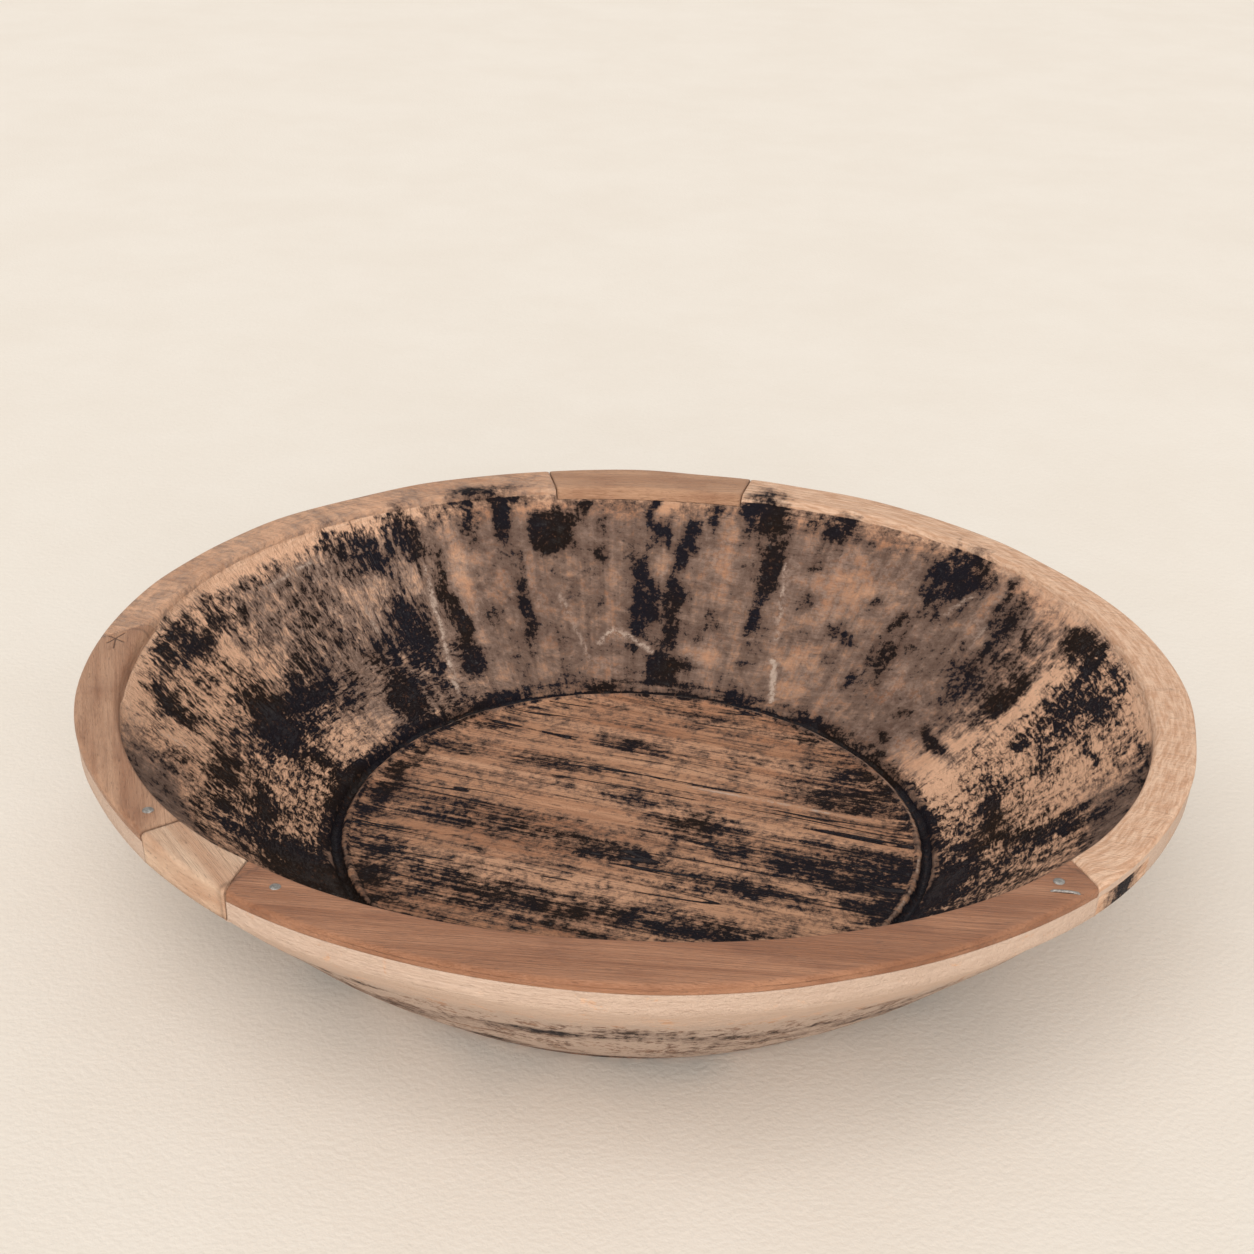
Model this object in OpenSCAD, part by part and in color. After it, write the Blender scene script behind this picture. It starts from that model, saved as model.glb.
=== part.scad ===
// Round bowl carved from one log section, with let-in rim repairs held by nails and a staple.
// -Y is the front, with the long nailed strip, and +Z is up. The grain runs near the X axis.
// The origin is the centre of the flat foot. Angles turn from +X towards +Y. Units are millimetres.

/* [Bowl] */
// Outer length of the rim, side to side
rim_len = 420; // [340:1:520]
// Outer width of the rim, front to back
rim_wid = 408; // [330:1:510]
// Height from the foot to the top of the rim
height = 86; // [70:1:110]
// Length of the hollow at the rim, side to side
hollow_len = 384; // [320:1:400]
// Width of the hollow at the rim, front to back
hollow_wid = 356; // [300:1:370]
// Diameter of the raised floor inside
floor_dia = 228; // [180:1:250]
// Thickness of wood under the raised floor
floor_t = 15; // [11:0.5:20]
// Diameter of the flat foot
foot_dia = 252; // [220:1:270]

/* [Carving] */
// Depth of the groove around the raised floor
groove_depth = 3; // [1:0.5:5]
// Width of the groove around the raised floor
groove_width = 5; // [3:0.5:8]
// Height of the pale, almost upright band under the rim
rim_band = 12; // [8:1:20]
// Height of the upright inner face on the near half of the rim
near_face = 13; // [0:1:18]
// Worn round on both edges of the rim
rim_round = 3; // [1:0.5:5]
// Height of the knife marks, how far the outline strays from a true ellipse
wobble = 0.8; // [0:0.1:1.5]

/* [Rim repairs] */
// Thickness of the nailed strips
strip_t = 4; // [3:0.5:7]
// Thickness of the pale block
block_t = 12; // [6:0.5:16]
// Thickness of the strip let into the back of the rim
rear_strip_t = 5; // [3:0.5:8]
// Seam around each repair
seam = 0.2; // [0.1:0.05:0.5]

/* [Fasteners] */
// Diameter of a nail's shank
nail_dia = 1.8; // [1.4:0.1:2.4]
// Diameter of a nail's head
nail_head_dia = 4; // [3:0.1:5]
// Thickness of a nail's head
nail_head_t = 0.8; // [0.5:0.1:1.2]
// Length of a nail under its head
nail_len = 22; // [14:1:28]
// Outer width of the staple
staple_wid = 10.6; // [8:0.1:12]
// Diameter of the staple's wire
staple_wire = 1.1; // [0.8:0.1:1.4]
// Length of the staple's legs
staple_leg = 10; // [6:1:14]
// Play between a fastener and its hole, on the radius
hole_play = 0.05; // [0.02:0.01:0.1]

/* [Hidden] */

STEPS = 72;             // stations around the bowl
OVER = 2;               // how far cutters run past what they cut
REBATE_REACH = 60;      // how far a rebate cutter runs in from the rim, over the open hollow
CUTTER_REACH = 1.1;     // how far a rebate cutter runs out, as a share of the rim's radius
RIM_SQUARENESS = 2.2;   // 2 is a true ellipse, and more is squarer
WALL_HOLLOW = 0.8;      // under 1 makes the inner wall steeper towards the rim
WALL_BULGE = 0.85;      // under 1 makes the outer wall fuller than a cone
WALL_SHARES = [0.1, 0.22, 0.34, 0.46, 0.58, 0.68, 0.76, 0.82, 0.88, 0.94];
OUTER_SHARES = [0.85, 0.7, 0.55, 0.4, 0.25, 0.12];
LIP_ROUND = 1.5;        // round on the raised floor's edge
MARK_HALF = 19;         // half the usual width of the rim, where the seams' angles are taken

wall_base_z = floor_t + 1;
wall_top_z = height - rim_round;
floor_r = floor_dia / 2;
mean_rim_r = rim_len / 2 - MARK_HALF / 2;

// Each seam across the rim is [angle at the middle of the rim, degrees it turns per millimetre outwards].
LEFT_END = [173.5, 0.3];
LEFT_SEAM = [217.7, 0];
BLOCK_SEAM = [230.2, 0.155];
RIGHT_SEAM = [318, -0.15];
REAR_RIGHT_END = [75.5, 0];
REAR_LEFT_END = [102.3, 0];

// Each fastener is [angle, distance in from the rim's outer edge].
LEFT_NAIL = [214.4, 8.5];
FRONT_LEFT_NAIL = [233.9, 12];
FRONT_RIGHT_NAIL = [315.1, 11];
STAPLE = [314, 5.5];
STAPLE_TURN = -8;       // the staple's crown against the X axis

function oval(a, b, n, ang) = pow(pow(abs(cos(ang)) / a, n) + pow(abs(sin(ang)) / b, n), -1 / n);
function clamp01(v) = min(1, max(0, v));
function rim_r(ang) = oval(rim_len / 2, rim_wid / 2, 2, ang) - wobble + wobble * sin(3 * ang + 40) * cos(5 * ang);
function hollow_r(ang) = oval(hollow_len / 2, hollow_wid / 2, RIM_SQUARENESS, ang) + wobble * sin(4 * ang + 70);
function near_share(ang) = clamp01((-sin(ang) - 0.15) / 0.15);

// The inner wall at a share of its height: it reaches the hollow's edge lower down on the near side.
function wall_r(ang, share) =
    let (
        foot = floor_r + groove_width,
        reach = 1 - near_share(ang) * near_face / (wall_top_z - wall_base_z)
    )
    foot + (hollow_r(ang) - foot) * pow(min(1, share / reach), WALL_HOLLOW);

function outer_r(ang, share) =
    foot_dia / 2 + (rim_r(ang) - foot_dia / 2) * pow(share, WALL_BULGE);

// One section of the bowl, from the raised floor's edge, over the rim and down to below the foot.
function section(ang) = concat(
    [
        [floor_r - LIP_ROUND * 2, floor_t],
        [floor_r - LIP_ROUND / 2, floor_t - LIP_ROUND / 3],
        [floor_r, floor_t - LIP_ROUND],
        [floor_r + groove_width / 4, floor_t - groove_depth],
        [floor_r + groove_width / 2, floor_t - groove_depth],
        [floor_r + groove_width, wall_base_z]
    ],
    [for (s = WALL_SHARES) [wall_r(ang, s), wall_base_z + s * (wall_top_z - wall_base_z)]],
    [
        [hollow_r(ang), wall_top_z],
        [hollow_r(ang) + rim_round, height],
        [rim_r(ang) - rim_round, height],
        [rim_r(ang), height - rim_round],
        [rim_r(ang), height - rim_band]
    ],
    [for (s = OUTER_SHARES) [outer_r(ang, s), s * (height - rim_band)]],
    [[foot_dia / 2, 0], [foot_dia / 2 - OVER, -OVER]]
);

module whole_bowl() {
    rings = len(section(0));
    points = [
        for (i = [0 : STEPS - 1]) let (ang = i * 360 / STEPS)
            for (p = section(ang)) [p[0] * cos(ang), p[0] * sin(ang), p[1]]
    ];
    sides = [
        for (i = [0 : STEPS - 1]) let (j = (i + 1) % STEPS)
            for (k = [0 : rings - 2])
                each [
                    [i * rings + k, i * rings + k + 1, j * rings + k + 1],
                    [i * rings + k, j * rings + k + 1, j * rings + k]
                ]
    ];
    floor_face = [for (i = [STEPS - 1 : -1 : 0]) i * rings];
    foot_face = [for (i = [0 : STEPS - 1]) i * rings + rings - 1];
    difference() {
        polyhedron(points = points, faces = concat(sides, [floor_face, foot_face]));
        translate([-foot_dia, -foot_dia, -3 * OVER]) cube([2 * foot_dia, 2 * foot_dia, 3 * OVER]);
    }
}

function on_ray(r, ang) = [r * cos(ang), r * sin(ang)];
function seam_angle(mark, r) = mark[0] + mark[1] * (r - mean_rim_r);

// The plan of a stretch of rim between two seams, drawn in by gap at each seam.
module stretch(from, to, gap) {
    r_in = min(hollow_len, hollow_wid) / 2 - REBATE_REACH;
    r_out = max(rim_len, rim_wid) / 2 * CUTTER_REACH;
    turn = gap / mean_rim_r * 180 / PI;
    outer_from = seam_angle(from, r_out) + turn;
    outer_to = seam_angle(to, r_out) - turn;
    inner_from = seam_angle(from, r_in) + turn;
    inner_to = seam_angle(to, r_in) - turn;
    steps = 6;
    polygon(concat(
        [for (i = [0 : steps]) on_ray(r_out, outer_from + (outer_to - outer_from) * i / steps)],
        [for (i = [steps : -1 : 0]) on_ray(r_in, inner_from + (inner_to - inner_from) * i / steps)]
    ));
}

module rim_stretch(from, to, depth, gap) {
    translate([0, 0, height - depth])
        linear_extrude(height = depth + OVER)
            stretch(from, to, gap);
}

module repair_spaces() {
    rim_stretch(LEFT_END, RIGHT_SEAM, strip_t, 0);
    rim_stretch(LEFT_SEAM, BLOCK_SEAM, block_t, 0);
    rim_stretch(REAR_RIGHT_END, REAR_LEFT_END, rear_strip_t, 0);
}

function fastener_xy(mark) = on_ray(rim_r(mark[0]) - mark[1], mark[0]);

module nail_shape(play) {
    translate([0, 0, height - nail_head_t - nail_len])
        cylinder(h = nail_len + OVER * play, r = nail_dia / 2 + play, $fn = 32);
    translate([0, 0, height - nail_head_t])
        cylinder(h = nail_head_t + (play > 0 ? OVER : 0), r = nail_head_dia / 2 + play, $fn = 48);
}

module nail_at(mark, play = 0) {
    xy = fastener_xy(mark);
    translate([xy[0], xy[1], 0]) nail_shape(play);
}

module staple_at(play = 0) {
    xy = fastener_xy(STAPLE);
    wire_r = staple_wire / 2 + play;
    half = (staple_wid - staple_wire) / 2;
    translate([xy[0], xy[1], height - staple_wire / 2])
        rotate([0, 0, STAPLE_TURN]) {
            translate([-half, 0, 0]) rotate([0, 90, 0]) cylinder(h = 2 * half, r = wire_r, $fn = 24);
            for (side = [-1, 1])
                translate([side * half, 0, 0]) {
                    translate([0, 0, -staple_leg]) cylinder(h = staple_leg, r = wire_r, $fn = 24);
                    sphere(r = wire_r, $fn = 24);
                }
        }
}

module fastener_holes() {
    nail_at(LEFT_NAIL, hole_play);
    nail_at(FRONT_LEFT_NAIL, hole_play);
    nail_at(FRONT_RIGHT_NAIL, hole_play);
    staple_at(hole_play);
}

module bowl_body() {
    color("#8a6547")
        difference() {
            whole_bowl();
            repair_spaces();
            fastener_holes();
        }
}

// A let-in piece is the bowl's own shape inside its space, so it finishes flush on every side.
module let_in(from, to, depth) {
    difference() {
        intersection() {
            whole_bowl();
            rim_stretch(from, to, depth, seam);
        }
        fastener_holes();
    }
}

module left_rim_strip() {
    color("#b98a66") let_in(LEFT_END, LEFT_SEAM, strip_t);
}

module left_rim_block() {
    color("#d2ae8d") let_in(LEFT_SEAM, BLOCK_SEAM, block_t);
}

module front_rim_strip() {
    color("#a9754f") let_in(BLOCK_SEAM, RIGHT_SEAM, strip_t);
}

module rear_rim_strip() {
    color("#c99a73") let_in(REAR_RIGHT_END, REAR_LEFT_END, rear_strip_t);
}

module steel_nail(mark) {
    color("#b9bcc0") nail_at(mark);
}

module rim_staple() {
    color("#b9bcc0") staple_at();
}

bowl_body();
left_rim_strip();
left_rim_block();
front_rim_strip();
rear_rim_strip();
steel_nail(LEFT_NAIL);  // left_strip_nail
steel_nail(FRONT_LEFT_NAIL);  // front_strip_left_nail
steel_nail(FRONT_RIGHT_NAIL);  // front_strip_right_nail
rim_staple();
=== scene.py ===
"""Finishes the carved bowl: hand-cut surfaces, stained wood, metal fasteners, studio light and camera."""

import math

import bpy
import numpy as np
from mathutils import Matrix, Vector


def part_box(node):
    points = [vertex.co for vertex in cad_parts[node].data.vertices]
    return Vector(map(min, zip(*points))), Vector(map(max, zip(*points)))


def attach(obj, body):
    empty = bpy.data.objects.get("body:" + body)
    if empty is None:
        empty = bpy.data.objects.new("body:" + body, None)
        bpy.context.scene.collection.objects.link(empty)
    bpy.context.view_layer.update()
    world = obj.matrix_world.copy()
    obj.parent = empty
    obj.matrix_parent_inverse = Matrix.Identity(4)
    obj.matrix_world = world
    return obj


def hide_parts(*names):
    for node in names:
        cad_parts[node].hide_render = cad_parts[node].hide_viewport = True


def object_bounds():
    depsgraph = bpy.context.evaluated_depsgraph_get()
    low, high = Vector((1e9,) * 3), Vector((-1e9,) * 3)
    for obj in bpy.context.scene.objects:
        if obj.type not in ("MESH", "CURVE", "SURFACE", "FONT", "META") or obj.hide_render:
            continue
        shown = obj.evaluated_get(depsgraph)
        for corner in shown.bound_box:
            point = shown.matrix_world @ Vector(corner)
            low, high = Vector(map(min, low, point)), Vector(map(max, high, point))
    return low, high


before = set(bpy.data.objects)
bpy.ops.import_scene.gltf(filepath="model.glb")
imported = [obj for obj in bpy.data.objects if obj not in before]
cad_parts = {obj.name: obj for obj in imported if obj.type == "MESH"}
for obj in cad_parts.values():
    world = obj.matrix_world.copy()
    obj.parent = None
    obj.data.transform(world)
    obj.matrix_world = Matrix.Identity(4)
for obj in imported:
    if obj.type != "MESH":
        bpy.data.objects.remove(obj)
cad_low, cad_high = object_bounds()

# ---------------- sizes, in millimetres unless named otherwise

MM = 0.001
HALF_LEN = (cad_high.x - cad_low.x) / 2 / MM
HALF_WID = (cad_high.y - cad_low.y) / 2 / MM
HEIGHT = cad_high.z / MM
FLOOR_T = 15.0
FLOOR_R = 114.0
GROOVE_W = 5.0
GROOVE_DEPTH = 3.2
LIP_W = 3.2
LIP_RISE = 0.9
FOOT_R = 126.0
FOOT_ROUND = 2.0
HOLLOW_LEN = 192.0
HOLLOW_WID = 178.0
BAND = 12.0
BAND_TAPER = 0.8
NEAR_FACE = 13.0
WALL_BASE = FLOOR_T + 1
WALL_R = FLOOR_R + GROOVE_W
STATIONS = 480
GRAIN_TURN = -17.0
STRIP_T = (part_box("front_rim_strip")[1].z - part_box("front_rim_strip")[0].z) / MM
BLOCK_T = (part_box("left_rim_block")[1].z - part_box("left_rim_block")[0].z) / MM
REAR_T = (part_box("rear_rim_strip")[1].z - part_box("rear_rim_strip")[0].z) / MM

# Each seam across the rim is (angle at the middle of the rim, degrees it turns per millimetre outwards).
LEFT_END = (173.5, 0.3)
LEFT_SEAM = (217.7, 0.0)
BLOCK_SEAM = (230.2, 0.155)
RIGHT_SEAM = (318.0, -0.15)
REAR_RIGHT_END = (75.5, 0.0)
REAR_LEFT_END = (102.3, 0.0)
SEAMS = (REAR_RIGHT_END, REAR_LEFT_END, LEFT_END, LEFT_SEAM, BLOCK_SEAM, RIGHT_SEAM)
MEAN_RIM_R = 200.5
SEAM_REACH = 7.0
SEAM_GAP = 0.3

# Each let-in piece is (node, first seam, second seam, thickness).
LET_INS = (
    ("left_rim_strip", LEFT_END, LEFT_SEAM, STRIP_T),
    ("left_rim_block", LEFT_SEAM, BLOCK_SEAM, BLOCK_T),
    ("front_rim_strip", BLOCK_SEAM, RIGHT_SEAM, STRIP_T),
    ("rear_rim_strip", REAR_RIGHT_END, REAR_LEFT_END, REAR_T),
)

# The bowl's section is cut into zones, each with its number of mesh rows.
ZONES = (
    ("floor", 70), ("lip", 5), ("groove", 8), ("wall", 56), ("inner_edge", 6), ("top", 10),
    ("outer_edge", 4), ("band", 5), ("outer", 20), ("foot", 3), ("bottom", 4),
)

# Dark stains on the inner wall: (angle, share of the wall's height, half width in degrees,
# half height as a share of the wall's, strength).
WALL_STAINS = (
    # left wall, at the end of the grain
    (170, 0.92, 3.5, 0.11, 0.8), (163, 0.81, 9, 0.045, 0.65), (157.5, 0.74, 2.2, 0.13, 0.7),
    (181.5, 0.83, 2.2, 0.1, 0.8), (182.5, 0.68, 1.6, 0.06, 0.8), (166.5, 0.36, 5.5, 0.17, 1.0),
    (156, 0.32, 8, 0.13, 0.85), (186, 0.45, 3.2, 0.05, 1.0), (193, 0.37, 1.2, 0.06, 0.9),
    (189, 0.24, 6, 0.035, 0.75), (201, 0.1, 6, 0.12, 1.0), (166, 0.08, 2.2, 0.09, 0.8),
    (147, 0.6, 4, 0.16, 0.3), (159, 0.93, 2, 0.06, 0.6), (149, 0.92, 2.5, 0.06, 0.5),
    # far wall, with stain run down across the grain
    (139, 0.12, 3.5, 0.08, 1.2), (131, 0.8, 5.5, 0.11, 0.75), (137, 0.93, 1.4, 0.09, 0.8),
    (125.5, 0.86, 1.8, 0.2, 0.95), (130.5, 0.36, 4, 0.19, 0.9), (137, 0.32, 2.4, 0.1, 0.75),
    (122, 0.42, 1.8, 0.26, 0.95), (122, 0.21, 2.8, 0.09, 1.1), (113, 1.05, 6, 0.07, 0.9),
    (110.5, 0.93, 1.5, 0.15, 0.95), (116, 0.88, 1.4, 0.08, 0.65), (103.5, 0.8, 3.9, 0.1, 1.3),
    (109.5, 0.38, 1.2, 0.15, 0.8), (98.4, 0.93, 0.8, 0.07, 0.9), (96, 0.7, 1.4, 0.05, 0.75),
    (88.4, 0.9, 0.9, 0.15, 1.0), (86.3, 0.77, 1.3, 0.08, 1.0), (83.6, 0.7, 1.8, 0.06, 1.0),
    (81.5, 0.8, 1.1, 0.08, 0.95), (79.2, 0.92, 1.1, 0.07, 0.95), (89, 0.42, 2, 0.2, 0.95),
    (84.5, 0.38, 1.4, 0.2, 0.9), (84.5, 0.08, 3.2, 0.09, 1.1), (71.5, 0.98, 3.6, 0.17, 1.0),
    (69, 0.66, 2.2, 0.14, 1.15), (69.5, 0.44, 1.2, 0.08, 0.8), (60.5, 0.93, 2.2, 0.09, 0.9),
    (64.5, 0.94, 1.2, 0.06, 0.7), (62.5, 0.75, 1.2, 0.05, 0.7), (61.5, 0.53, 1.2, 0.06, 0.65),
    (76.5, 0.32, 1.8, 0.05, 0.65), (53.5, 0.4, 2.5, 0.045, 0.75), (50.5, 0.59, 1.2, 0.035, 0.8),
    (46.3, 0.55, 1, 0.05, 0.8), (46.5, 0.35, 1, 0.09, 0.8), (48.5, 0.22, 1, 0.07, 0.8),
    # right wall, at the other end of the grain
    (40.5, 0.86, 4.6, 0.18, 0.95), (33, 0.83, 1.1, 0.16, 0.85), (30, 0.78, 2, 0.13, 0.85),
    (25, 0.78, 1.6, 0.1, 0.85), (17.5, 0.95, 3, 0.11, 0.95), (12.5, 0.88, 1.8, 0.13, 1.2),
    (5, 0.98, 4, 0.05, 0.75), (5.5, 0.82, 4, 0.05, 0.85), (27, 0.5, 8, 0.22, 0.68),
    (20.5, 0.46, 3.2, 0.16, 1.05), (43.5, 0.33, 1.8, 0.11, 0.85), (24.3, 0.14, 4.6, 0.05, 1.3),
    (34, 0.07, 2.5, 0.035, 0.9), (35, 0.22, 2.3, 0.05, 0.6), (348.5, 0.31, 1.4, 0.045, 1.1),
    (0.5, 0.2, 3, 0.035, 0.85), (353.5, 0.2, 3.5, 0.05, 0.75), (350, 0.12, 4.5, 0.05, 0.85),
    (6.5, 0.26, 3, 0.02, 0.8), (10.5, 0.42, 1.8, 0.03, 0.8), (341, 0.04, 7, 0.07, 1.1),
    (345, 0.45, 2.5, 0.2, 0.5), (357, 0.72, 6, 0.03, 0.6), (2, 0.5, 8, 0.05, 0.5), (8, 0.7, 4, 0.1, 0.5),
)

# Dark stains on the floor: (x, y, half length along the grain, half width across it, strength).
FLOOR_STAINS = (
    (-99, 26, 5, 26, 1.0), (-58, 8, 36, 8, 0.9), (-15, -12, 28, 8, 0.85), (-64, -42, 24, 6, 0.85),
    (-35, -56, 34, 8, 0.75), (22, 5, 13, 9, 1.1), (2, 24, 22, 5, 0.8), (-2, 67, 11, 4, 0.95),
    (88, 38, 18, 17, 1.0), (84, -24, 30, 13, 1.1), (43, -15, 14, 10, 0.8), (35, -37, 24, 5, 0.95),
    (20, -65, 36, 6, 1.05), (93, -52, 13, 9, 0.9), (-32, 52, 20, 4, 0.75), (-61, 82, 5, 2, 1.0),
    (30, 93, 12, 6, 0.5), (45, 60, 14, 5, 0.55), (-98, -28, 7, 22, 0.75), (-78, 62, 16, 5, 0.6),
    (50, -92, 40, 8, 0.8), (-40, -92, 36, 7, 0.75),
)

# Long splits in the floor along the grain: (x, y, half length, half width).
FLOOR_CRACKS = (
    (-27, -27, 58, 1.0), (3, -13, 64, 0.9), (38, -47, 44, 0.9), (-62, -18, 30, 0.8),
    (-20, -42, 34, 0.9), (62, -38, 30, 0.8), (-30, 18, 26, 0.8), (52, 30, 50, 1.1),
)
SPLINTER = (57, 25, 50, 1.1)

OUTER_ROUND = 1.6
# The outer band has a mesh row at the depth of each rebate, so that the joints close.
BAND_ROWS = [(depth - OUTER_ROUND) / (BAND - OUTER_ROUND) for depth in (2.8, STRIP_T, REAR_T, 7, 9.5, BAND)]

# ---------------- repeatable lumps


def corner_value(ix, iy, iz, seed):
    """A repeatable number from -1 to 1 for each corner of a grid."""
    mixed = (ix * 73856093) ^ (iy * 19349663) ^ (iz * 83492791) ^ (seed * 2654435761)
    mixed = (mixed ^ (mixed >> 13)) * 1274126177 & 0xFFFFFFFF
    return ((mixed ^ (mixed >> 16)) & 0xFFFF) / 32767.5 - 1


def lumps(x, y, z, seed):
    """Smooth noise from -1 to 1, with one cell a unit."""
    fx, fy, fz = np.floor(x), np.floor(y), np.floor(z)
    ix, iy, iz = fx.astype(np.int64), fy.astype(np.int64), fz.astype(np.int64)
    u, v, w = x - fx, y - fy, z - fz
    u, v, w = (t * t * (3 - 2 * t) for t in (u, v, w))
    total = 0
    for dx, wx in ((0, 1 - u), (1, u)):
        for dy, wy in ((0, 1 - v), (1, v)):
            for dz, wz in ((0, 1 - w), (1, w)):
                total = total + corner_value(ix + dx, iy + dy, iz + dz, seed) * wx * wy * wz
    return total


def hills(x, y, z, size, seed):
    """Lumps of one size, turned so that no row of them follows an axis, and mixed with smaller ones."""
    total = 0
    for n, (part, turn) in enumerate(((1.0, 0.7), (0.5, 1.9), (0.25, 2.8))):
        c, s = math.cos(turn), math.sin(turn)
        a, b = c * x + s * y, c * y - s * x
        b, h = 0.8 * b + 0.6 * z, 0.8 * z - 0.6 * b
        total = total + part * lumps(a / (size * part), b / (size * part), h / (size * part), seed + n)
    return total


def smooth(value, low, high):
    """0 below low and 1 above high, with a soft turn between."""
    t = np.clip((value - low) / (high - low), 0, 1)
    return t * t * (3 - 2 * t)


def cosd(angle):
    return np.cos(np.radians(angle))


def sind(angle):
    return np.sin(np.radians(angle))


def ring_lumps(angle, step, z, seed):
    """Lumps that come every step degrees round a ring, and meet where its turn closes."""
    cells = 180 / math.pi / step
    return lumps(cells * cosd(angle), cells * sind(angle), z, seed)


def turn_from(angle, other):
    """The signed turn in degrees from one angle to another, from -180 to 180."""
    return (angle - other + 180) % 360 - 180


# ---------------- the bowl's shape


def oval(a, b, power, angle):
    return ((abs(cosd(angle)) / a) ** power + (abs(sind(angle)) / b) ** power) ** (-1 / power)


def near_share(angle):
    """0 on the far half and 1 on the near half, where the rim is flat with a steep inner face."""
    return np.clip((-sind(angle) - 0.15) / 0.15, 0, 1)


# The rim is set in this far, so that its lumps stay inside the outline.
RIM_INSET = 0.5


def rim_r(angle):
    """The rim's outer edge: an oval with the slight lumps of hand carving."""
    carved = 0.8 * sind(3 * angle + 40) * cosd(5 * angle)
    uneven = 0.5 * ring_lumps(angle, 9, 0 * angle, 3)
    return oval(HALF_LEN, HALF_WID, 2, angle) - RIM_INSET + carved + uneven


def hollow_r(angle):
    """The hollow's edge, a little squarer than the rim."""
    return oval(HOLLOW_LEN, HOLLOW_WID, 2.2, angle) + 0.8 * sind(4 * angle + 70)


def edge_round(angle):
    """The worn edge of the hollow: soft on the far half, crisp on the near half."""
    return 3.4 - 2.2 * near_share(angle)


# How many scoops go round the wall, and the deepest cut of each.
GOUGES = 42
GOUGE_DEPTH = 0.75


def gouge_depth(angle, share):
    """Shallow scoops running up the wall, each as wide as the gouge that cut it."""
    drift = 2.2 * ring_lumps(angle, 14, share * 1.6, 11)
    place = (angle + drift) % 360 / (360 / GOUGES)
    across = (place - np.floor(place)) * 2 - 1
    strength = 0.6 + 0.5 * lumps(np.floor(place), share * 1.5, 0 * share, 12)
    return GOUGE_DEPTH * strength * (1 - across * across) * smooth(share, 0.0, 0.15)


def section(zone, u, angle):
    """(radius, height) of one zone's row, at u from 0 to 1 along the zone."""
    rim, hollow = rim_r(angle), hollow_r(angle)
    inner_round, outer_round = edge_round(angle), OUTER_ROUND + 0 * angle
    if zone == "floor":
        return u * (FLOOR_R - LIP_W) + 0 * angle, FLOOR_T + 0 * angle
    if zone == "lip":
        rise = LIP_RISE * math.sin(math.pi * u)
        return FLOOR_R - LIP_W + LIP_W * u + 0 * angle, FLOOR_T + rise + 0 * angle
    if zone == "groove":
        dip = GROOVE_DEPTH * math.sin(math.pi * u) ** 0.8 if u < 1 else 0.0
        return FLOOR_R + GROOVE_W * u + 0 * angle, FLOOR_T + (WALL_BASE - FLOOR_T) * u - dip + 0 * angle
    if zone == "wall":
        top = HEIGHT - inner_round
        reach = 1 - near_share(angle) * NEAR_FACE / (top - WALL_BASE)
        out = (hollow - WALL_R) * np.minimum(1, u / reach) ** 0.8
        return WALL_R + out, WALL_BASE + u * (top - WALL_BASE)
    if zone == "inner_edge":
        turn = math.pi / 2 * u
        return (hollow + inner_round * (1 - math.cos(turn)),
                HEIGHT - inner_round + inner_round * math.sin(turn))
    if zone == "top":
        start, end = hollow + inner_round, rim - outer_round
        return start + (end - start) * u, HEIGHT + 0 * angle
    if zone == "outer_edge":
        turn = math.pi / 2 * u
        return (rim - outer_round * (1 - math.sin(turn)),
                HEIGHT - outer_round * (1 - math.cos(turn)))
    if zone == "band":
        return rim - BAND_TAPER * u, HEIGHT - outer_round - (BAND - outer_round) * u
    if zone == "outer":
        start, end = rim - BAND_TAPER, FOOT_R + FOOT_ROUND + 0 * angle
        return end + (start - end) * (1 - u) ** 0.85, FOOT_ROUND + (HEIGHT - BAND - FOOT_ROUND) * (1 - u)
    if zone == "foot":
        return FOOT_R + FOOT_ROUND - FOOT_ROUND * u + 0 * angle, FOOT_ROUND * (1 - u) ** 2 + 0 * angle
    return FOOT_R * (1 - u) + 0 * angle, 0 * angle


# The knot on the far wall: angle, share of the wall's height, half width in degrees, half height, rise.
KNOT = (103.5, 0.8, 3.2, 0.09, 1.6)
# Each surface sinks by about half its lumps, so that they stay inside the bowl's outline.
FLOOR_SINK = 0.6
WALL_SINK = 0.7
RIM_SINK = 0.35
OUTER_SINK = 0.5
SPLIT_DEPTH = 0.7
# Which way a cut goes in: its shares outwards and downwards.
INTO_WALL = (0.68, 0.73)
INTO_OUTER = (0.7, 0.3)


def carved_wall(u, angle, r, z):
    """The inner wall with its scoops, swells, rough end grain and knot."""
    x, y = r * cosd(angle), r * sind(angle)
    fade = smooth(1 - u, 0.0, 0.1) * smooth(u, 0.0, 0.05)
    swell = 0.75 * hills(x, y, z, 32, 31)
    rough = 0.22 * end_share(angle) * lumps(x / 2.6, y / 2.6, z / 3.4, 33)
    middle, level, half_turn, half_share, rise = KNOT
    knot = rise * np.exp(-(turn_from(angle, middle) / half_turn) ** 2 - ((u - level) / half_share) ** 2)
    offset = (gouge_depth(angle, u + 0 * angle) + swell + rough - WALL_SINK) * fade - knot
    return r + INTO_WALL[0] * offset, z - INTO_WALL[1] * offset


def carved_floor(u, r, z, gx, gy):
    """The raised floor with ridges and splits along its grain."""
    ridges = 0.35 * lumps(gx / 60, gy / 3.5, 0 * gx, 21) + 0.5 * lumps(gx / 45, gy / 14, 0 * gx, 22)
    fade = smooth(1 - u, 0.0, 0.08)
    return r, z + (ridges - FLOOR_SINK) * fade - SPLIT_DEPTH * crack_field(gx, gy, FLOOR_CRACKS)


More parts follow.
